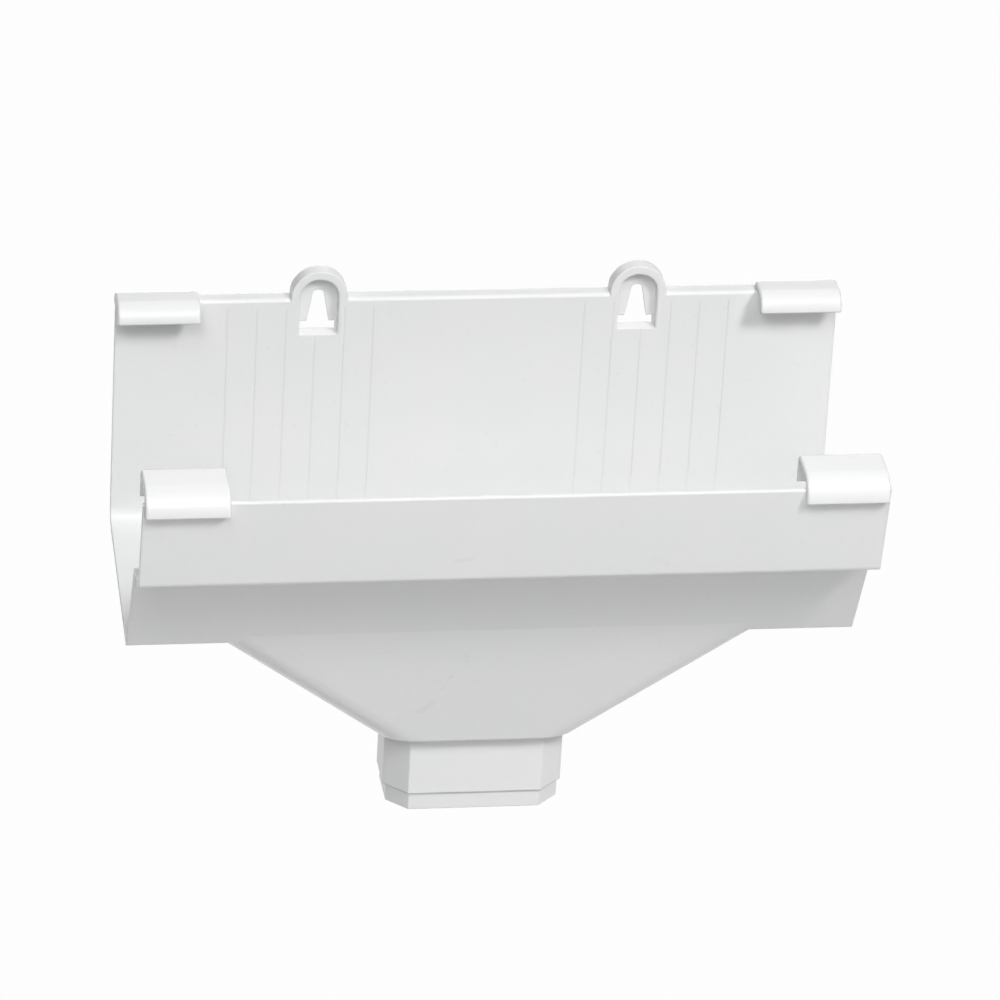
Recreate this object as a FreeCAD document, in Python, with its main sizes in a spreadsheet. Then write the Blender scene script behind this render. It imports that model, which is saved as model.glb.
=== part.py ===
"""Gutter outlet: one moulding with a stepped trough, a tapered hopper and a chamfered spigot.

X runs along the gutter, +Y points into the wall and Z is up. The origin lies on the
mounting plane, midway between the two screw seats. All sizes are in millimetres.
"""
import FreeCAD, Part
import math
import os
import Sketcher

NODE = "outlet_body"

SIZES = {
    "outlet_length": 300.0,
    "wall": 2.4,
    # Trough section: forward from the mounting plane, and down from the top of the rear wall
    "trough_depth": 124.0,
    "standoff": 6.5,
    "rear_drop": 101.2,
    "fascia_top_drop": 26.8,
    "fascia_height": 42.2,
    "fascia_lean": 8.6,
    "ledge_depth": 16.5,
    "ledge_fall": 1.5,
    "foot_setback": 41.2,
    "foot_drop": 49.6,
    "rear_bend": 11.0,
    "foot_bend": 4.0,
    "ledge_bend": 3.5,
    "fascia_bend": 3.0,
    # Hopper: its mouth lies along the trough floor, and its neck carries the spigot
    "mouth_half_width": 119.0,
    "mouth_raise": 6.5,
    "mouth_rear_margin": 8.0,
    "hopper_corner": 14.0,
    "hopper_drop": 57.2,
    "neck_half_width": 41.4,
    "neck_front_margin": 5.5,
    "neck_rear_margin": 3.0,
    # Spigot: a chamfered box with a smaller entry band
    "spigot_half_width": 37.6,
    "spigot_depth": 38.0,
    "spigot_setback": 61.5,
    "spigot_chamfer": 9.6,
    "spigot_length": 36.0,
    "band_height": 8.2,
    "band_step": 1.0,
    "band_side_step": 1.4,
    # Snap hooks at the four corners
    "hook_width": 34.0,
    "hook_wall": 2.2,
    "hook_root": 1.0,
    "heel_round": 3.0,
    "hook_end_round": 1.2,
    "front_hook_inset": 0.7,
    "front_hook_rise": 6.1,
    "front_hook_proud": 2.6,
    "front_hook_drop": 5.3,
    "front_hook_reach": 21.2,
    "front_hook_leg": 12.0,
    "front_hook_fall": 1.4,
    "front_nose": 9.5,
    "rear_hook_rise": 2.9,
    "rear_hook_reach": 17.5,
    "rear_hook_drop": 5.0,
    "rear_hook_fall": 0.4,
    "rear_nose": 7.0,
    # Screw ears with keyhole slots
    "ear_offset": 66.2,
    "ear_radius": 11.7,
    "ear_rise": 0.5,
    "recess_radius": 8.0,
    "recess_drop": 16.2,
    "ear_plate": 2.0,
    "slot_radius": 2.1,
    "flare_half_width": 4.6,
    "flare_drop": 12.0,
    "opening_half_width": 7.3,
    # Ribs behind the rear wall, and the sink lines that they leave on its face
    "rib_first": 43.8,
    "rib_pitch": 12.05,
    "rib_count": 6,
    "rib_thickness": 1.6,
    "rib_foot_gap": 16.0,
    "sink_width": 0.7,
    "sink_depth": 0.1,
    "sink_top": 4.0,
    # Rounded edges that show
    "rim_round": 1.4,
    "lip_round": 0.8,
    "recess_round": 0.6,
    "neck_edge_round": 1.4,
    "spigot_edge_round": 0.5,
}

# Places of section corners, worked out from the sizes above
PLACES = {
    "half_length": "outlet_length / 2",
    "wall_back_y": "wall - standoff",
    "wall_front_y": "-standoff",
    "rear_z": "-rear_drop",
    "fascia_top_y": "-trough_depth - fascia_lean",
    "fascia_top_z": "-fascia_top_drop",
    "fascia_foot_y": "-trough_depth",
    "fascia_foot_z": "-fascia_top_drop - fascia_height",
    "ledge_y": "ledge_depth - trough_depth",
    "ledge_z": "-fascia_top_drop - fascia_height - ledge_fall",
    "foot_y": "foot_setback - trough_depth",
    "foot_z": "-fascia_top_drop - fascia_height - foot_drop",
    # Inside of the trough: each face is set in by the wall along its own normal
    "floor_run": "wall_back_y - foot_y",
    "floor_rise": "rear_z - foot_z",
    "floor_slope": "atan(floor_rise / floor_run)",
    "shin_slope": "atan((foot_y - ledge_y) / (ledge_z - foot_z))",
    "ledge_slope": "atan(ledge_fall / ledge_depth)",
    "fascia_slope": "atan(fascia_lean / fascia_height)",
    "in_rear_z": "rear_z + wall * cos(floor_slope) / (1 + sin(floor_slope))",
    "foot_share": "wall / (1 + sin(shin_slope - floor_slope))",
    "in_foot_y": "foot_y + foot_share * (cos(shin_slope) - sin(floor_slope))",
    "in_foot_z": "foot_z + foot_share * (sin(shin_slope) + cos(floor_slope))",
    "ledge_share": "wall / (1 + sin(shin_slope + ledge_slope))",
    "in_ledge_y": "ledge_y + ledge_share * (cos(shin_slope) + sin(ledge_slope))",
    "in_ledge_z": "ledge_z + ledge_share * (sin(shin_slope) + cos(ledge_slope))",
    "fascia_share": "wall / (1 + sin(fascia_slope + ledge_slope))",
    "in_fascia_foot_y": "fascia_foot_y + fascia_share * (cos(fascia_slope) + sin(ledge_slope))",
    "in_fascia_foot_z": "fascia_foot_z + fascia_share * (sin(fascia_slope) + cos(ledge_slope))",
    "in_fascia_top_y": "fascia_top_y + wall / cos(fascia_slope)",
    "in_rear_bend": "rear_bend - wall",
    "in_foot_bend": "foot_bend - wall",
    "in_ledge_bend": "ledge_bend + wall",
    "in_fascia_bend": "fascia_bend - wall",
    "clear_z": "wall",
    "cut_length": "outlet_length + wall",
    # Hopper mouth: a plane parallel to the floor, raised so that it meets the front wall
    "mouth_front_z": "foot_z + mouth_raise / (1 + tan(floor_slope) * tan(shin_slope))",
    "mouth_front_y": "foot_y - (mouth_front_z - foot_z) * tan(shin_slope)",
    "mouth_rear_y": "wall_back_y - mouth_rear_margin",
    "mouth_rear_z": "mouth_front_z + (mouth_rear_y - mouth_front_y) * tan(floor_slope)",
    "neck_z": "foot_z - hopper_drop",
    "neck_front_y": "-spigot_setback - neck_front_margin",
    "neck_rear_y": "spigot_depth - spigot_setback + neck_rear_margin",
    # Hopper flanks lean out from the neck and are carried on to the height of the mouth's rear edge
    "side_lean": "atan((mouth_half_width - neck_half_width) / (mouth_front_z - neck_z))",
    "front_lean": "atan((neck_front_y - mouth_front_y) / (mouth_front_z - neck_z))",
    "rear_lean": "atan((mouth_rear_y - neck_rear_y) / (mouth_rear_z - neck_z))",
    "hopper_rise": "mouth_rear_z - neck_z",
    "top_half_width": "neck_half_width + hopper_rise * tan(side_lean)",
    "top_front_y": "neck_front_y - hopper_rise * tan(front_lean)",
    # Funnel inside: each flank is set in by the wall along its own normal
    "in_neck_z": "neck_z + wall",
    "in_neck_half": "neck_half_width + wall * tan(side_lean) - wall / cos(side_lean)",
    "in_neck_front_y": "neck_front_y - wall * tan(front_lean) + wall / cos(front_lean)",
    "in_neck_rear_y": "neck_rear_y + wall * tan(rear_lean) - wall / cos(rear_lean)",
    "in_top_z": "in_rear_z + wall",
    "in_rise": "in_top_z - in_neck_z",
    "in_top_half": "in_neck_half + in_rise * tan(side_lean)",
    "in_top_front_y": "in_neck_front_y - in_rise * tan(front_lean)",
    "in_top_rear_y": "in_neck_rear_y + in_rise * tan(rear_lean)",
    "in_hopper_corner": "hopper_corner - wall",
    # Spigot and its bore
    "spigot_front_y": "-spigot_setback",
    "spigot_rear_y": "spigot_depth - spigot_setback",
    "band_half_width": "spigot_half_width - band_side_step",
    "band_front_y": "spigot_front_y + band_step",
    "band_rear_y": "spigot_rear_y - band_step",
    "band_chamfer": "spigot_chamfer - band_side_step + band_step * (sqrt(2) - 1)",
    "bore_half_width": "band_half_width - wall",
    "bore_front_y": "band_front_y + wall",
    "bore_rear_y": "band_rear_y - wall",
    "bore_chamfer": "band_chamfer - wall * (2 - sqrt(2))",
    "upper_length": "spigot_length - band_height",
    "bore_top_z": "in_neck_z + wall",
    "bore_length": "spigot_length + wall * 3",
    # Front hook, seated on the top edge of the fascia
    "front_hook_root_y": "fascia_top_y + wall * 0.75",
    "front_hook_front_y": "fascia_top_y - front_hook_proud",
    "front_hook_back_y": "fascia_top_y + front_hook_reach",
    "front_hook_top_z": "fascia_top_z + front_hook_rise",
    "front_hook_nose_z": "front_hook_top_z - front_hook_fall",
    "front_hook_lip_z": "fascia_top_z - front_hook_drop",
    "front_hook_leg_z": "front_hook_top_z - front_hook_leg",
    "in_front_hook_back_y": "front_hook_back_y - hook_wall",
    "in_front_hook_top_z": "front_hook_top_z - hook_wall",
    "in_front_hook_nose_z": "front_hook_nose_z - hook_wall",
    "in_front_nose": "front_nose * 0.4",
    "in_heel": "heel_round / 2",
    # Rear hook, standing on the flange at the top of the rear wall
    "rear_hook_top_z": "rear_hook_rise",
    "rear_hook_nose_z": "rear_hook_rise - rear_hook_fall",
    "rear_hook_front_y": "-rear_hook_reach",
    "rear_hook_lip_z": "-rear_hook_drop",
    "rear_hook_root_z": "-hook_root",
    "in_rear_hook_top_z": "rear_hook_rise - hook_wall",
    "in_rear_hook_nose_z": "rear_hook_rise - rear_hook_fall - hook_wall",
    "in_rear_hook_front_y": "hook_wall - rear_hook_reach",
    "in_rear_hook_back_y": "-hook_wall",
    "in_rear_nose": "rear_nose - hook_wall",
    "rear_hook_x": "half_length - hook_width",
    "front_hook_x": "half_length - hook_width - front_hook_inset",
    "front_hook_end_x": "half_length - front_hook_inset",
    # Ears, ribs and sink lines, seen from the front
    "ear_foot_z": "-recess_drop - wall",
    "recess_foot_z": "-recess_drop",
    "recess_depth": "standoff - ear_plate",
    "slot_left_x": "ear_offset - slot_radius",
    "slot_right_x": "ear_offset + slot_radius",
    "flare_left_x": "ear_offset - flare_half_width",
    "flare_right_x": "ear_offset + flare_half_width",
    "opening_left_x": "ear_offset - opening_half_width",
    "opening_right_x": "ear_offset + opening_half_width",
    "flare_z": "-flare_drop",
    "keyhole_depth": "standoff + wall",
    "slot_round": "slot_radius * 0.9",
    "rib_run": "rib_pitch * (rib_count - 1)",
    "rib_left_x": "rib_first - rib_thickness / 2",
    "rib_right_x": "rib_first + rib_thickness / 2",
    "rib_top_z": "-wall / 2",
    "rib_foot_z": "rib_foot_gap - rear_drop",
    "rib_depth": "standoff - wall / 2",
    "sink_left_x": "rib_first - sink_width / 2",
    "sink_right_x": "rib_first + sink_width / 2",
    "sink_top_z": "-sink_top",
    "flange_z": "-wall",
}

doc = FreeCAD.newDocument("gutter_outlet")
sizes_sheet = doc.addObject("Spreadsheet::Sheet", "Sizes")
for row, (alias, number) in enumerate(SIZES.items(), start=1):
    sizes_sheet.set(f"A{row}", alias)
    sizes_sheet.set(f"B{row}", str(number))
    sizes_sheet.setAlias(f"B{row}", alias)
places_sheet = doc.addObject("Spreadsheet::Sheet", "Places")


def bound(formula):
    """Return the formula with each size and place spelled out for the expression engine."""
    words = []
    word = ""
    for sign in formula + " ":
        if sign.isalnum() or sign == "_":
            word += sign
            continue
        if word in SIZES:
            word = "Sizes." + word
        elif word in PLACES:
            word = "Places." + word
        words.append(word + sign)
        word = ""
    return "".join(words).strip()


for row, (alias, formula) in enumerate(PLACES.items(), start=1):
    places_sheet.set(f"A{row}", alias)
    places_sheet.setAlias(f"B{row}", alias)
for row, formula in enumerate(PLACES.values(), start=1):
    places_sheet.set(f"B{row}", "=" + bound(formula).replace("Places.", ""))
doc.recompute()

body = doc.addObject("PartDesign::Body", NODE)
body.Label = NODE
planes = {feature.Role: feature for feature in body.Origin.OriginFeatures}


def value(name):
    """Read a size or place as a number; a leading minus sign turns it round."""
    if name.startswith("-"):
        return -value(name[1:])
    sheet = sizes_sheet if name in SIZES else places_sheet
    cell = sheet.get(name)
    return float(getattr(cell, "Value", cell))


def sketch_on(role, name, lift=None):
    """Attach a sketch to an origin plane, raised along its normal."""
    sketch = body.newObject("Sketcher::SketchObject", name)
    sketch.AttachmentSupport = [(planes[role], "")]
    sketch.MapMode = "FlatFace"
    if lift:
        sketch.AttachmentOffset = FreeCAD.Placement(FreeCAD.Vector(0, 0, value(lift)), FreeCAD.Rotation())
        sketch.setExpression(".AttachmentOffset.Base.z", bound(lift))
    return sketch


def bind(sketch, constraint, formula):
    """Add a dimension and tie it to the sheets."""
    index = sketch.addConstraint(constraint)
    sketch.setExpression(f"Constraints[{index}]", bound(formula))


def pin_point(sketch, geometry, end, across, up):
    """Hold one point of a sketch at its two coordinates."""
    for kind, name in (("DistanceX", across), ("DistanceY", up)):
        if name:
            bind(sketch, Sketcher.Constraint(kind, -1, 1, geometry, end, value(name)), name)
        else:
            axis = -2 if kind == "DistanceX" else -1
            sketch.addConstraint(Sketcher.Constraint("PointOnObject", geometry, end, axis))


def outline(sketch, corners):
    """Draw a closed outline through corners given as (across, up, radius or None)."""
    points = [FreeCAD.Vector(value(c[0]) if c[0] else 0.0, value(c[1]) if c[1] else 0.0, 0) for c in corners]
    count = len(corners)
    starts, ends, arcs = {}, {}, {}
    for i, (_, _, radius) in enumerate(corners):
        here = points[i]
        back = (points[i - 1] - here).normalize()
        ahead = (points[(i + 1) % count] - here).normalize()
        if radius is None:
            ends[i] = here
            starts[i] = here
            continue
        half_angle = back.getAngle(ahead) / 2
        reach = value(radius) / math.tan(half_angle)
        ends[i] = here + back * reach
        starts[i] = here + ahead * reach
        middle = (back + ahead).normalize()
        centre = here + middle * (value(radius) / math.sin(half_angle))
        arcs[i] = Part.Arc(ends[i], centre - middle * value(radius), starts[i])
    lines = []
    for i in range(count):
        segment = Part.LineSegment(starts[i], ends[(i + 1) % count])
        lines.append(sketch.addGeometry(segment, False))
    for i, (across, up, radius) in enumerate(corners):
        before = lines[i - 1]
        after = lines[i]
        if radius is None:
            sketch.addConstraint(Sketcher.Constraint("Coincident", before, 2, after, 1))
            pin_point(sketch, after, 1, across, up)
            continue
        arc = sketch.addGeometry(arcs[i], False)
        start_is_first = (sketch.getPoint(arc, 1) - ends[i]).Length < (sketch.getPoint(arc, 2) - ends[i]).Length
        first, second = (1, 2) if start_is_first else (2, 1)
        sketch.addConstraint(Sketcher.Constraint("Tangent", before, 2, arc, first))
        sketch.addConstraint(Sketcher.Constraint("Tangent", arc, second, after, 1))
        bind(sketch, Sketcher.Constraint("Radius", arc, value(radius)), radius)
        corner = sketch.addGeometry(Part.Point(points[i]), True)
        pin_point(sketch, corner, 1, across, up)
        sketch.addConstraint(Sketcher.Constraint("PointOnObject", corner, 1, before))
        sketch.addConstraint(Sketcher.Constraint("PointOnObject", corner, 1, after))
    return sketch


def arch(sketch, centre_x, centre_z, radius, foot_z):
    """Draw a half circle on straight sides that end at foot_z."""
    x, top, r, z = value(centre_x), value(centre_z), value(radius), value(foot_z)
    centre = FreeCAD.Vector(x, top, 0)
    crown = sketch.addGeometry(Part.ArcOfCircle(Part.Circle(centre, FreeCAD.Vector(0, 0, 1), r), 0, math.pi), False)
    shoulder_left = FreeCAD.Vector(x - r, top, 0)
    shoulder_right = FreeCAD.Vector(x + r, top, 0)
    foot_left = FreeCAD.Vector(x - r, z, 0)
    foot_right = FreeCAD.Vector(x + r, z, 0)
    left = sketch.addGeometry(Part.LineSegment(shoulder_left, foot_left), False)
    base = sketch.addGeometry(Part.LineSegment(foot_left, foot_right), False)
    right = sketch.addGeometry(Part.LineSegment(foot_right, shoulder_right), False)
    sketch.addConstraint(Sketcher.Constraint("Tangent", crown, 2, left, 1))
    sketch.addConstraint(Sketcher.Constraint("Tangent", right, 2, crown, 1))
    sketch.addConstraint(Sketcher.Constraint("Coincident", left, 2, base, 1))
    sketch.addConstraint(Sketcher.Constraint("Coincident", base, 2, right, 1))
    sketch.addConstraint(Sketcher.Constraint("Vertical", left))
    sketch.addConstraint(Sketcher.Constraint("Horizontal", base))
    pin_point(sketch, crown, 3, centre_x, centre_z)
    bind(sketch, Sketcher.Constraint("Radius", crown, r), radius)
    bind(sketch, Sketcher.Constraint("DistanceY", -1, 1, base, 1, z), foot_z)


def chamfered_box(sketch, half_width, front, rear, chamfer):
    """Draw a rectangle whose four corners are cut at 45 degrees."""
    w, c = value(half_width), value(chamfer)
    low, high = value(front), value(rear)
    ring = [(-w + c, low), (w - c, low), (w, low + c), (w, high - c), (w - c, high), (-w + c, high), (-w, high - c),
            (-w, low + c)]
    points = [FreeCAD.Vector(px, py, 0) for px, py in ring]
    count = len(points)
    lines = [sketch.addGeometry(Part.LineSegment(points[i], points[(i + 1) % count]), False) for i in range(count)]
    for i in range(count):
        sketch.addConstraint(Sketcher.Constraint("Coincident", lines[i - 1], 2, lines[i], 1))
    for i in (0, 4):
        sketch.addConstraint(Sketcher.Constraint("Horizontal", lines[i]))
    for i in (2, 6):
        sketch.addConstraint(Sketcher.Constraint("Vertical", lines[i]))
    bind(sketch, Sketcher.Constraint("DistanceX", -1, 1, lines[2], 1, w), half_width)
    bind(sketch, Sketcher.Constraint("DistanceX", -1, 1, lines[6], 1, -w), "-" + half_width)
    bind(sketch, Sketcher.Constraint("DistanceY", -1, 1, lines[0], 1, low), front)
    bind(sketch, Sketcher.Constraint("DistanceY", -1, 1, lines[4], 1, high), rear)
    for cut, flat_first in ((1, True), (3, False), (5, True), (7, False)):
        for kind in ("DistanceX", "DistanceY"):
            first, last = points[cut], points[(cut + 1) % count]
            gap = last.x - first.x if kind == "DistanceX" else last.y - first.y
            sign = "" if gap > 0 else "-"
            bind(sketch, Sketcher.Constraint(kind, lines[cut], 1, lines[cut], 2, gap), sign + chamfer)


def extrude(kind, name, sketch, length, symmetric=False, flip=False):
    """Pad or pocket a sketch by a bound length."""
    feature = body.newObject("PartDesign::" + kind, name)
    feature.Profile = sketch
    feature.Length = value(length)
    feature.setExpression("Length", bound(length))
    feature.SideType = "Symmetric" if symmetric else "One side"
    feature.Reversed = flip
    return settle(feature)


def settle(feature):
    """Work the feature out and hold it to a sound result."""
    doc.recompute()
    state = feature.State
    if "Invalid" in state or "Error" in state or feature.Shape.isNull() or not feature.Shape.isValid():
        raise RuntimeError(f"{feature.Name} is not sound: {state}")
    print(f"{feature.Name:<16} volume {feature.Shape.Volume:12.1f}  solids {len(feature.Shape.Solids)}")
    return feature


def wedge(owner, name, foot, top):
    """Add a block with plane flanks; foot and top are (height, half width, front, rear)."""
    feature = owner.newObject("PartDesign::AdditiveWedge", name)
    front_plane = next(thing for thing in owner.Origin.OriginFeatures if thing.Role == "XZ_Plane")
    feature.AttachmentSupport = [(front_plane, "")]
    feature.MapMode = "FlatFace"
    for level, digit, (height, half_width, front, rear) in (("Ymin", "", foot), ("Ymax", "2", top)):
        for side, formula in ((level, height), (f"X{digit}min", "-" + half_width), (f"X{digit}max", half_width),
                              (f"Z{digit}min", "-" + rear), (f"Z{digit}max", "-" + front)):
            feature.setExpression(side, bound(formula))
    return settle(feature)


def repeat_and_mirror(name, original):
    """Repeat a feature along X at the rib pitch, then on the other end of the gutter."""
    row = doc.addObject("PartDesign::LinearPattern", name + "Row")
    row.Direction = (planes["X_Axis"], [""])
    row.setExpression("Length", bound("rib_run"))
    row.setExpression("Occurrences", bound("rib_count"))
    flip = doc.addObject("PartDesign::Mirrored", name + "Flip")
    flip.MirrorPlane = (planes["YZ_Plane"], [""])
    feature = doc.addObject("PartDesign::MultiTransform", name)
    feature.Originals = [original]
    feature.Transformations = [row, flip]
    body.addObject(feature)
    return settle(feature)


def round_edges(name, feature, radius, chosen):
    """Round the edges of a feature that the given test picks out."""
    names = [f"Edge{i}" for i, edge in enumerate(feature.Shape.Edges, start=1) if chosen(edge)]
    if not names:
        raise RuntimeError(f"{name} finds no edge")
    rounding = feature.getParentGeoFeatureGroup().newObject("PartDesign::Fillet", name)
    rounding.Base = (feature, names)
    rounding.setExpression("Radius", bound(radius))
    return settle(rounding)


def climbs_from(edge, height):
    """Tell whether an edge starts at the given height and leans up from there."""
    ends = sorted(vertex.Point.z for vertex in edge.Vertexes)
    return abs(ends[0] - height) < 0.01 and ends[-1] > height + 1.0


def lies_at(edge, y=None, z=None, slack=0.01):
    """Tell whether both ends of an edge lie at the given height and depth."""
    ends = [vertex.Point for vertex in edge.Vertexes]
    at_y = y is None or all(abs(point.y - y) < slack for point in ends)
    at_z = z is None or all(abs(point.z - z) < slack for point in ends)
    return at_y and at_z


# Hopper, trough section and spigot, solid at first
hopper = wedge(body, "Hopper", ("neck_z", "neck_half_width", "neck_front_y", "neck_rear_y"),
               ("mouth_rear_z", "top_half_width", "top_front_y", "mouth_rear_y"))
neck_height = value("neck_z")
hopper = round_edges("HopperCorners", hopper, "hopper_corner", lambda edge: climbs_from(edge, neck_height))
round_edges("NeckRound", hopper, "neck_edge_round", lambda edge: lies_at(edge, z=neck_height))
trough = outline(sketch_on("YZ_Plane", "TroughSection"), [
    ("wall_back_y", None, None),
    ("wall_back_y", "rear_z", "rear_bend"),
    ("foot_y", "foot_z", "foot_bend"),
    ("ledge_y", "ledge_z", "ledge_bend"),
    ("fascia_foot_y", "fascia_foot_z", "fascia_bend"),
    ("fascia_top_y", "fascia_top_z", None),
    ("in_fascia_top_y", "fascia_top_z", None),
    ("wall_front_y", None, None),
])
extrude("Pad", "Trough", trough, "outlet_length", symmetric=True)

upper = sketch_on("XY_Plane", "SpigotSection", "neck_z")
chamfered_box(upper, "spigot_half_width", "spigot_front_y", "spigot_rear_y", "spigot_chamfer")
extrude("Pad", "Spigot", upper, "upper_length", flip=True)
band = sketch_on("XY_Plane", "BandSection", "neck_z")
chamfered_box(band, "band_half_width", "band_front_y", "band_rear_y", "band_chamfer")
entry = extrude("Pad", "SpigotBand", band, "spigot_length", flip=True)
spigot_height = value("neck_z") - value("spigot_length")
round_edges("SpigotRound", entry, "spigot_edge_round",
            lambda edge: lies_at(edge, z=spigot_height))

# Water path: the funnel, the channel and the bore are cut one after another
core = doc.addObject("PartDesign::Body", "FunnelCore")
funnel = wedge(core, "Funnel", ("in_neck_z", "in_neck_half", "in_neck_front_y", "in_neck_rear_y"),
               ("in_top_z", "in_top_half", "in_top_front_y", "in_top_rear_y"))
in_neck_height = value("in_neck_z")
round_edges("FunnelCorners", funnel, "in_hopper_corner", lambda edge: climbs_from(edge, in_neck_height))
funnel_cut = body.newObject("PartDesign::Boolean", "FunnelCut")
funnel_cut.Type = "Cut"
funnel_cut.setObjects([core])
settle(funnel_cut)
channel = outline(sketch_on("YZ_Plane", "ChannelSection"), [
    ("wall_front_y", "clear_z", None),
    ("wall_front_y", "in_rear_z", "in_rear_bend"),
    ("in_foot_y", "in_foot_z", "in_foot_bend"),
    ("in_ledge_y", "in_ledge_z", "in_ledge_bend"),
    ("in_fascia_foot_y", "in_fascia_foot_z", "in_fascia_bend"),
    ("in_fascia_top_y", "fascia_top_z", None),
    ("in_fascia_top_y", "clear_z", None),
])
extrude("Pocket", "Channel", channel, "cut_length", symmetric=True)
bore = sketch_on("XY_Plane", "BoreSection", "bore_top_z")
chamfered_box(bore, "bore_half_width", "bore_front_y", "bore_rear_y", "bore_chamfer")
extrude("Pocket", "Bore", bore, "bore_length")

# Flange that the rear wall is turned back into, flush with the mounting plane
flange = outline(sketch_on("XZ_Plane", "FlangeSection"), [
    ("-half_length", None, None),
    ("half_length", None, None),
    ("half_length", "flange_z", None),
    ("-half_length", "flange_z", None),
])
rim = extrude("Pad", "WallFlange", flange, "standoff")
front_face = value("wall_front_y")
rim = round_edges("RimRound", rim, "rim_round", lambda edge: lies_at(edge, y=front_face, z=0.0))
lip_height = value("fascia_top_z")
round_edges("LipRound", rim, "lip_round", lambda edge: lies_at(edge, z=lip_height) and edge.Length > 200)

# Ribs behind the rear wall
rib = outline(sketch_on("XZ_Plane", "RibSection"), [
    ("rib_left_x", "rib_top_z", None),
    ("rib_right_x", "rib_top_z", None),
    ("rib_right_x", "rib_foot_z", None),
    ("rib_left_x", "rib_foot_z", None),
])
repeat_and_mirror("Ribs", extrude("Pad", "Rib", rib, "rib_depth"))

# Screw ears: a ring with a recess from the front and a keyhole through its back plate
SIDES = ("", "-")
ears = sketch_on("XZ_Plane", "EarSection")
recesses = sketch_on("XZ_Plane", "RecessSection", "standoff")
keyholes = sketch_on("XZ_Plane", "KeyholeSection", "standoff")
for side in SIDES:
    arch(ears, side + "ear_offset", "ear_rise", "ear_radius", "ear_foot_z")
    arch(recesses, side + "ear_offset", "ear_rise", "recess_radius", "recess_foot_z")
    outline(keyholes, [
        (side + "slot_left_x", "slot_radius", "slot_round"),
        (side + "slot_right_x", "slot_radius", "slot_round"),
        (side + "flare_right_x", "flare_z", None),
        (side + "opening_right_x", "flare_z", None),
        (side + "opening_right_x", "recess_foot_z", None),
        (side + "opening_left_x", "recess_foot_z", None),
        (side + "opening_left_x", "flare_z", None),
        (side + "flare_left_x", "flare_z", None),
    ])
extrude("Pad", "Ears", ears, "standoff")
extrude("Pocket", "EarRecesses", recesses, "recess_depth")
holed = extrude("Pocket", "Keyholes", keyholes, "keyhole_depth")
recess_arc = value("recess_radius")
round_edges("RecessRound", holed, "recess_round",
            lambda edge: lies_at(edge, y=front_face) and hasattr(edge.Curve, "Radius")
            and abs(edge.Curve.Radius - recess_arc) < 0.01)

# Fine sink lines on the face of the rear wall, one over each rib
sink = outline(sketch_on("XZ_Plane", "SinkSection", "standoff"), [
    ("sink_left_x", "sink_top_z", None),
    ("sink_right_x", "sink_top_z", None),
    ("sink_right_x", "rib_foot_z", None),
    ("sink_left_x", "rib_foot_z", None),
])
repeat_and_mirror("SinkLines", extrude("Pocket", "SinkLine", sink, "sink_depth"))

# Snap hooks that hold the ends of the gutter
for end, front_x, rear_x in (("Right", "front_hook_x", "rear_hook_x"),
                             ("Left", "-front_hook_end_x", "-half_length")):
    front_hook = outline(sketch_on("YZ_Plane", f"FrontHookSection{end}", front_x), [
        ("front_hook_back_y", "front_hook_leg_z", None),
        ("front_hook_back_y", "front_hook_top_z", "heel_round"),
        ("front_hook_front_y", "front_hook_nose_z", "front_nose"),
        ("front_hook_front_y", "front_hook_lip_z", None),
        ("front_hook_root_y", "front_hook_lip_z", None),
        ("front_hook_root_y", "in_front_hook_nose_z", "in_front_nose"),
        ("in_front_hook_back_y", "in_front_hook_top_z", "in_heel"),
        ("in_front_hook_back_y", "front_hook_leg_z", None),
    ])
    extrude("Pad", f"FrontHook{end}", front_hook, "hook_width")
    rear_hook = outline(sketch_on("YZ_Plane", f"RearHookSection{end}", rear_x), [
        (None, "rear_hook_root_z", None),
        (None, "rear_hook_top_z", "heel_round"),
        ("rear_hook_front_y", "rear_hook_nose_z", "rear_nose"),
        ("rear_hook_front_y", "rear_hook_lip_z", None),
        ("in_rear_hook_front_y", "rear_hook_lip_z", None),
        ("in_rear_hook_front_y", "in_rear_hook_nose_z", "in_rear_nose"),
        ("in_rear_hook_back_y", "in_rear_hook_top_z", "in_heel"),
        ("in_rear_hook_back_y", "rear_hook_root_z", None),
    ])
    hooked = extrude("Pad", f"RearHook{end}", rear_hook, "hook_width")

# Outer skin of each hook: its front, back, front height, back height, nose and lip
HOOK_SKINS = (
    ("front_hook_front_y", "front_hook_back_y", "front_hook_nose_z", "front_hook_top_z", "front_nose",
     "front_hook_lip_z"),
    ("rear_hook_front_y", None, "rear_hook_nose_z", "rear_hook_top_z", "rear_nose",
     "rear_hook_lip_z"),
)
hook_ends = [value(name) for name in ("half_length", "front_hook_end_x", "rear_hook_x", "front_hook_x")]


def caps_a_hook(edge):
    """Tell whether an edge runs along the outer skin of a hook, at one of its two ends."""
    box = edge.BoundBox
    if box.XLength > 0.01 or min(abs(abs(box.XMin) - x) for x in hook_ends) > 0.01:
        return False
    point = edge.valueAt((edge.FirstParameter + edge.LastParameter) / 2)
    for names in HOOK_SKINS:
        front, back, nose_z, top_z, nose, lip_z = (value(name) if name else 0.0 for name in names)
        if not (front - 0.1 < point.y < back - 0.1 and point.z > lip_z + 0.1):
            continue
        on_front = point.y - front < 0.05
        on_top = abs(point.z - nose_z - (point.y - front) * (top_z - nose_z) / (back - front)) < 0.05
        reach = math.hypot(point.y - front - nose, point.z - nose_z + nose)
        if on_front or on_top or (point.y < front + nose and abs(reach - nose) < 0.6):
            return True
    return False


outlet = round_edges("HookEndRound", hooked, "hook_end_round", caps_a_hook)

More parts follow.
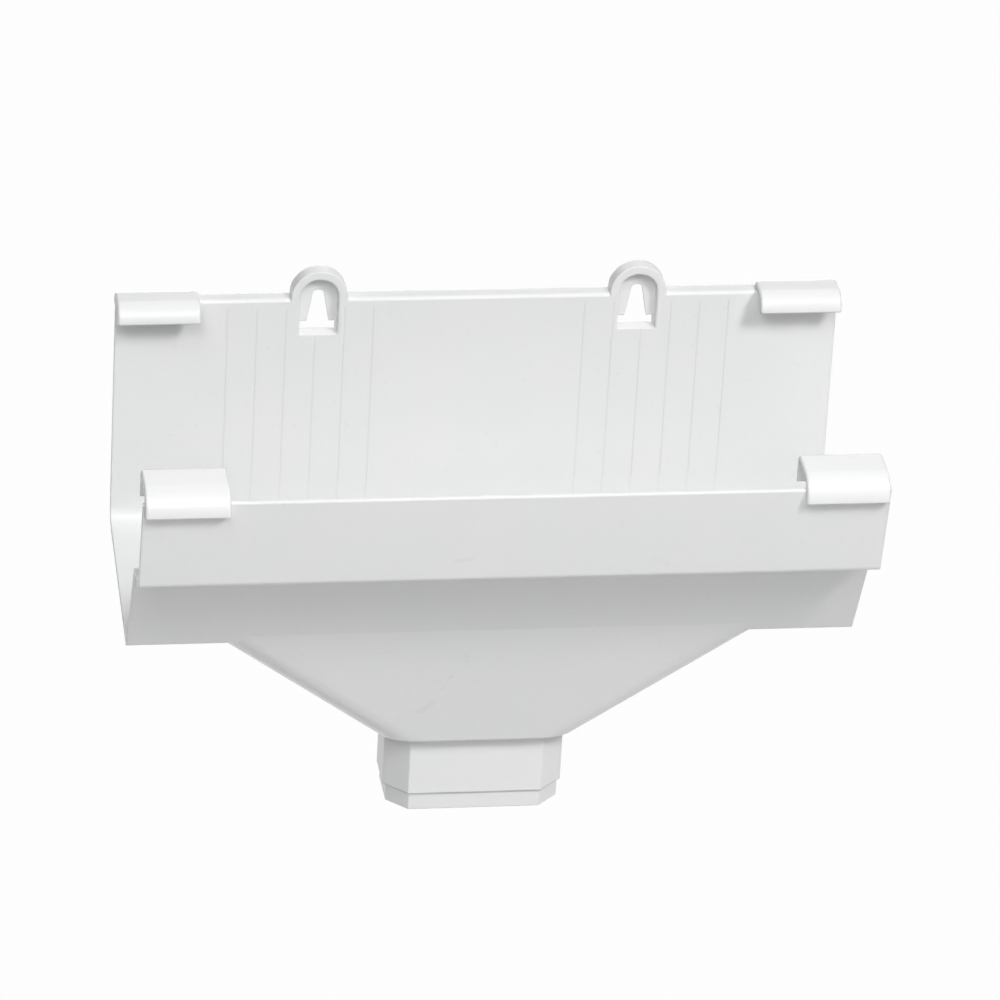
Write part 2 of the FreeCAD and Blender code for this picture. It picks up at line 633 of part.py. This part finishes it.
body.Tip = outlet
doc.recompute()
for thing in doc.Objects:
    if "Invalid" in thing.State or "Error" in thing.State:
        raise RuntimeError(f"{thing.Name} is not sound")
solids = body.Shape.Solids
if body.Shape.isNull() or not body.Shape.isValid() or len(solids) != 1:
    raise RuntimeError(f"{NODE} is not one sound solid: {len(solids)}")
box = body.Shape.BoundBox
print(f"{NODE}: x {box.XMin:.2f} to {box.XMax:.2f}, y {box.YMin:.2f} to {box.YMax:.2f},"
      f" z {box.ZMin:.2f} to {box.ZMax:.2f}, volume {body.Shape.Volume:.0f}")
os.makedirs("parts", exist_ok=True)
body.Shape.exportStep(f"parts/{NODE}.step")
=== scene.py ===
"""White moulded gutter outlet under soft studio light. Units are metres in the part's own frame."""

import math

import bpy
from mathutils import Matrix, Vector


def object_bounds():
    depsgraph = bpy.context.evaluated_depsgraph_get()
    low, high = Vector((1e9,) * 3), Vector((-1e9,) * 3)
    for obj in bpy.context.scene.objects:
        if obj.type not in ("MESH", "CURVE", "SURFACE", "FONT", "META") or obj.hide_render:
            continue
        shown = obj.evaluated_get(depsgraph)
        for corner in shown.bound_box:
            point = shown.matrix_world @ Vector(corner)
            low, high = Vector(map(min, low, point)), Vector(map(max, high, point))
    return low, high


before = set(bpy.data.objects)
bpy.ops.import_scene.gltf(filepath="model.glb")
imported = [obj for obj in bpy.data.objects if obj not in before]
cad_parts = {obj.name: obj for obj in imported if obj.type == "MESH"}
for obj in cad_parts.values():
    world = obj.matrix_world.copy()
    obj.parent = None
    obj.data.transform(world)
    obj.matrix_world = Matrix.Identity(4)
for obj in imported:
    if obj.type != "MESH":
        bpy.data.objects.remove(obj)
cad_low, cad_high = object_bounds()
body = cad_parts["outlet_body"]

# Camera: a long lens, a little to the left of the object and above it
CAMERA_TARGET = Vector((0.0, -0.064, -0.069))
CAMERA_AZIMUTH = math.radians(-9.72)
CAMERA_ELEVATION = math.radians(27.60)
CAMERA_ROLL = math.radians(3.24)
CAMERA_DISTANCE = 2.640
CAMERA_SLIDE = (-0.0036, -0.0041)
CAMERA_NEAR = 0.1
CAMERA_FAR = 50.0
FOCAL_PIXELS = 6470.0
FRAME_PIXELS = 1000.0
SENSOR = 36.0

# White surroundings, and a pale floor: half its side, and how far it lies below the outlet
BACKGROUND = (0.985, 0.985, 0.985, 1.0)
FLOOR_PAINT = (0.85, 0.85, 0.85, 1.0)
FLOOR_HALF = 4.0
FLOOR_DROP = 0.45

# White PVC: two whites that drift into each other, a grey for every mark and for the painted shade of the
# sink lines, and the gloss
COOL_WHITE = (0.862, 0.872, 0.876, 1.0)
WARM_WHITE = (0.884, 0.884, 0.878, 1.0)
GREY_MARK_AND_SHADE = (0.30, 0.31, 0.30, 1.0)
ROUGHNESS = (0.16, 0.26)
IOR = 1.53

# Noise textures: scale and detail, and the band that their values are stretched from
WHITE_NOISE = (22.0, 2.0)
SPECK_NOISE = (420.0, 1.0)
PATCH_NOISE = (900.0, 2.0)
WANDER_NOISE = (260.0, 1.0)
GLOSS_NOISE = (55.0, 4.0)
GRAIN_NOISE = (900.0, 2.0)
NOISE_BAND = (0.15, 0.85)
SPECK_BAND = (0.68, 0.78)
SPECK_DEPTH = 0.05

# Fine moulded grain, and edges that look a little rounder than the model's own
GRAIN_STRENGTH = 0.05
GRAIN_HEIGHT = 0.0002
EDGE_RADIUS = 0.0009
EDGE_SAMPLES = 8

# Scuffs: two ends, a half width and a depth each; the solid core's share of the half width, and
# how far the outline wanders
SCUFFS = (
    ((-0.0100, -0.0815, -0.1248), (-0.0090, -0.0801, -0.1306), 0.0010, 0.16),
    ((-0.0148, -0.0777, -0.1384), (-0.0184, -0.0760, -0.1446), 0.0013, 0.10),
    ((-0.0208, -0.0735, -0.1528), (-0.0276, -0.0721, -0.1582), 0.0020, 0.12),
    ((-0.0240, -0.1261, -0.0587), (-0.0168, -0.1264, -0.0570), 0.0013, 0.12),
    ((0.0566, -0.1259, -0.0592), (0.0622, -0.1254, -0.0623), 0.0010, 0.12),
)
SCUFF_CORE = 0.2
WANDER = 0.003

# Painted shade along the sink lines on both halves of the rear wall's face: first line and pitch along X,
# top and foot along Z
SINK_FIRST = 0.0438
SINK_PITCH = 0.01205
SINK_COUNT = 6
SINK_HALF_WIDTH = 0.0008
SINK_TOP = -0.0045
SINK_FOOT = -0.0960
SINK_SHADE = 0.06

# Slab along Y that holds the face and the start of the bend, but not the back of the wall
FACE_MIDDLE = -0.0085
FACE_SLACK = 0.0022

# Screw ears: their middle and half width along X, and where the lines below them start
EAR_OFFSET = 0.0662
EAR_REACH = 0.0125
EAR_FOOT = -0.0205

# Soft boxes, which all face one point: name, azimuth, elevation, distance, size and power
LIT_POINT = Vector((0.0, -0.065, -0.08))
SOFTBOXES = (
    ("key", 36.0, 44.0, 2.0, 0.42, 19.8),
    ("right", 65.0, 12.0, 2.0, 1.0, 1.3),
    ("front", -5.0, 35.0, 2.2, 1.2, 12.0),
    ("high_left", -25.0, 50.0, 2.0, 1.0, 12.2),
    ("fill", -12.0, 10.0, 2.2, 1.2, 0.6),
    ("back", 180.0, 50.0, 2.0, 1.2, 5.0),
    ("low_back", 180.0, 5.0, 2.2, 1.2, 11.0),
    ("top", 0.0, 85.0, 1.8, 1.2, 1.6),
)


def direction(azimuth, elevation):
    """Unit vector away from the object; azimuth 0 is straight in front."""
    flat = math.cos(elevation)
    return Vector((math.sin(azimuth) * flat, -math.cos(azimuth) * flat, math.sin(elevation)))


def place_camera():
    """Aim the camera from its azimuth, elevation and roll about the target."""
    back = direction(CAMERA_AZIMUTH, CAMERA_ELEVATION)
    level = Vector((math.cos(CAMERA_AZIMUTH), math.sin(CAMERA_AZIMUTH), 0.0))
    upright = back.cross(level)
    across = level * math.cos(CAMERA_ROLL) + upright * math.sin(CAMERA_ROLL)
    up = upright * math.cos(CAMERA_ROLL) - level * math.sin(CAMERA_ROLL)
    data = bpy.data.cameras.new("camera")
    data.sensor_width = SENSOR
    data.lens = SENSOR * FOCAL_PIXELS / FRAME_PIXELS
    data.clip_start = CAMERA_NEAR
    data.clip_end = CAMERA_FAR
    camera = bpy.data.objects.new("camera", data)
    place = CAMERA_TARGET + back * CAMERA_DISTANCE - across * CAMERA_SLIDE[0] - up * CAMERA_SLIDE[1]
    turn = Matrix((across, up, back)).transposed().to_4x4()
    camera.matrix_world = Matrix.Translation(place) @ turn
    bpy.context.scene.collection.objects.link(camera)
    bpy.context.scene.camera = camera


class Nodes:
    """Short spelling for the node tree of a material or the world."""

    def __init__(self, owner):
        self.tree = owner.node_tree
        self.tree.nodes.clear()

    def add(self, kind, inputs=None, **settings):
        """Add a node; each input takes a socket to link or a fixed value."""
        node = self.tree.nodes.new(kind)
        for name, setting in settings.items():
            setattr(node, name, setting)
        for name, source in (inputs or {}).items():
            socket = node.inputs[name]
            if isinstance(source, bpy.types.NodeSocket):
                self.tree.links.new(source, socket)
            else:
                socket.default_value = source
        return node

    def compute(self, operation, *values):
        """Result of a calculation with numbers."""
        return self.add("ShaderNodeMath", dict(enumerate(values)), operation=operation).outputs[0]

    def vector(self, operation, *values, result=0):
        """Result of a calculation with vectors."""
        inputs = dict(enumerate(values))
        return self.add("ShaderNodeVectorMath", inputs, operation=operation).outputs[result]

    def stretch(self, value, start, end, low=0.0, high=1.0, kind="LINEAR"):
        """A value that runs from start to end, stretched to run from low to high and held there."""
        inputs = {"Value": value, "From Min": start, "From Max": end, "To Min": low, "To Max": high}
        return self.add("ShaderNodeMapRange", inputs, interpolation_type=kind).outputs["Result"]

    def noise(self, place, scale, detail, result="Fac"):
        """Random value, or random colour, that changes smoothly from place to place."""
        inputs = {"Vector": place, "Scale": scale, "Detail": detail}
        return self.add("ShaderNodeTexNoise", inputs).outputs[result]

    def drift(self, place, texture, low=0.0, high=1.0):
        """Slow random drift of a value between two bounds."""
        return self.stretch(self.noise(place, *texture), *NOISE_BAND, low, high)

    def tint(self, factor, first, second):
        """Blend two colours by a factor."""
        inputs = {0: factor, 6: first, 7: second}
        return self.add("ShaderNodeMix", inputs, data_type="RGBA").outputs[2]


def scuff_mask(nodes, place, start, end, half_width):
    """One on a short rubbed streak between two points, fading to zero at its half width."""
    start, end = Vector(start), Vector(end)
    span = end - start
    arm = nodes.vector("SUBTRACT", place, start)
    along = nodes.vector("DOT_PRODUCT", arm, span / span.length_squared, result="Value")
    share = nodes.add("ShaderNodeClamp", {"Value": along}).outputs[0]
    foot = nodes.add("ShaderNodeVectorMath", {0: span, "Scale": share}, operation="SCALE").outputs[0]
    gap = nodes.vector("DISTANCE", arm, foot, result="Value")
    return nodes.stretch(gap, half_width, half_width * SCUFF_CORE, kind="SMOOTHSTEP")


def sink_shade_mask(nodes, place):
    """Where shade is painted: one along the middle of each sink line on the face of the rear wall, and
    zero on the ears.
    """
    x, y, z = nodes.add("ShaderNodeSeparateXYZ", {"Vector": place}).outputs
    across = nodes.compute("ABSOLUTE", x)
    from_first = nodes.compute("SUBTRACT", across, SINK_FIRST)
    gap = nodes.compute("PINGPONG", from_first, SINK_PITCH / 2)
    by_ear = nodes.compute("COMPARE", across, EAR_OFFSET, EAR_REACH)
    top = nodes.compute("MULTIPLY_ADD", by_ear, EAR_FOOT - SINK_TOP, SINK_TOP)
    half_run = SINK_PITCH * (SINK_COUNT - 1) / 2
    limits = (
        nodes.compute("COMPARE", from_first, half_run, half_run + SINK_PITCH / 4),
        nodes.compute("COMPARE", y, FACE_MIDDLE, FACE_SLACK),
        nodes.compute("LESS_THAN", z, top),
        nodes.compute("GREATER_THAN", z, SINK_FOOT),
    )
    mask = nodes.stretch(gap, SINK_HALF_WIDTH, 0.0, kind="SMOOTHSTEP")
    for within in limits:
        mask = nodes.compute("MULTIPLY", mask, within)
    return mask


def white_pvc():
    """Smooth white PVC: drifting tint and gloss, specks, painted shade along the sink lines, a few scuffs
    and grain.
    """
    material = bpy.data.materials.new("white_pvc")
    material.use_nodes = True
    nodes = Nodes(material)
    place = nodes.add("ShaderNodeTexCoord").outputs["Object"]
    colour = nodes.tint(nodes.drift(place, WHITE_NOISE), COOL_WHITE, WARM_WHITE)
    specks = nodes.stretch(nodes.noise(place, *SPECK_NOISE), *SPECK_BAND, high=SPECK_DEPTH)
    colour = nodes.tint(specks, colour, GREY_MARK_AND_SHADE)
    # Painted shade: the colour is darkened along the sink lines, where the shade of their shallow grooves
    # falls, and further down the wall than the grooves run
    painted_sink_shade = nodes.compute("MULTIPLY", sink_shade_mask(nodes, place), SINK_SHADE)
    colour = nodes.tint(painted_sink_shade, colour, GREY_MARK_AND_SHADE)
    patchy = nodes.drift(place, PATCH_NOISE)
    wander = nodes.noise(place, *WANDER_NOISE, result="Color")
    wavy = nodes.vector("MULTIPLY_ADD", wander, (WANDER,) * 3, place)
    wavy = nodes.vector("SUBTRACT", wavy, (WANDER / 2,) * 3)
    for start, end, half_width, depth in SCUFFS:
        mask = scuff_mask(nodes, wavy, start, end, half_width)
        strength = nodes.compute("MULTIPLY", mask, patchy)
        rubbed = nodes.compute("MULTIPLY", strength, depth)
        colour = nodes.tint(rubbed, colour, GREY_MARK_AND_SHADE)
    edge = nodes.add("ShaderNodeBevel", {"Radius": EDGE_RADIUS}, samples=EDGE_SAMPLES)
    relief = nodes.add("ShaderNodeBump", {
        "Height": nodes.noise(place, *GRAIN_NOISE),
        "Strength": GRAIN_STRENGTH,
        "Distance": GRAIN_HEIGHT,
        "Normal": edge.outputs["Normal"],
    })
    shader = nodes.add("ShaderNodeBsdfPrincipled", {
        "Base Color": colour,
        "Roughness": nodes.drift(place, GLOSS_NOISE, *ROUGHNESS),
        "Normal": relief.outputs["Normal"],
        "IOR": IOR,
    })
    nodes.add("ShaderNodeOutputMaterial", {"Surface": shader.outputs["BSDF"]})
    return material


def seen_directly(nodes):
    """One for rays from the camera and for mirror rays and rays through glass, else zero."""
    path = nodes.add("ShaderNodeLightPath").outputs
    either = nodes.compute("MAXIMUM", path["Is Camera Ray"], path["Is Glossy Ray"])
    return nodes.compute("MAXIMUM", either, path["Is Transmission Ray"])


def add_floor():
    """Pale floor well below the outlet, white where the camera sees it directly."""
    half = FLOOR_HALF
    height = cad_low.z - FLOOR_DROP
    corners = [(-half, -half, height), (half, -half, height), (half, half, height), (-half, half, height)]
    mesh = bpy.data.meshes.new("floor")
    mesh.from_pydata(corners, [], [(0, 1, 2, 3)])
    floor = bpy.data.objects.new("floor", mesh)
    bpy.context.scene.collection.objects.link(floor)
    material = bpy.data.materials.new("floor_paint")
    material.use_nodes = True
    nodes = Nodes(material)
    paint = nodes.add("ShaderNodeBsdfDiffuse", {"Color": FLOOR_PAINT}).outputs["BSDF"]
    glow = nodes.add("ShaderNodeEmission", {"Color": BACKGROUND}).outputs["Emission"]
    surface = nodes.add("ShaderNodeMixShader", {0: seen_directly(nodes), 1: paint, 2: glow})
    nodes.add("ShaderNodeOutputMaterial", {"Surface": surface.outputs["Shader"]})
    mesh.materials.append(material)


def add_world():
    """Surroundings that are white behind the object and in its gloss, and give no other light."""
    world = bpy.data.worlds.new("studio")
    world.use_nodes = True
    nodes = Nodes(world)
    inputs = {"Color": BACKGROUND, "Strength": seen_directly(nodes)}
    white = nodes.add("ShaderNodeBackground", inputs).outputs["Background"]
    nodes.add("ShaderNodeOutputWorld", {"Surface": white})
    bpy.context.scene.world = world


def add_softbox(name, azimuth, elevation, distance, size, power):
    """Square soft box that the camera doesn't see; azimuth 0 is straight in front."""
    data = bpy.data.lights.new(name, "AREA")
    data.size = size
    data.energy = power
    lamp = bpy.data.objects.new(name, data)
    lamp.visible_camera = False
    back = direction(math.radians(azimuth), math.radians(elevation))
    lamp.location = LIT_POINT + back * distance
    lamp.rotation_mode = "QUATERNION"
    lamp.rotation_quaternion = (-back).to_track_quat("-Z", "Y")
    bpy.context.scene.collection.objects.link(lamp)


place_camera()
body.data.materials.clear()
body.data.materials.append(white_pvc())
add_floor()
add_world()
for softbox in SOFTBOXES:
    add_softbox(*softbox)

view = bpy.context.scene.view_settings
view.view_transform = "Standard"
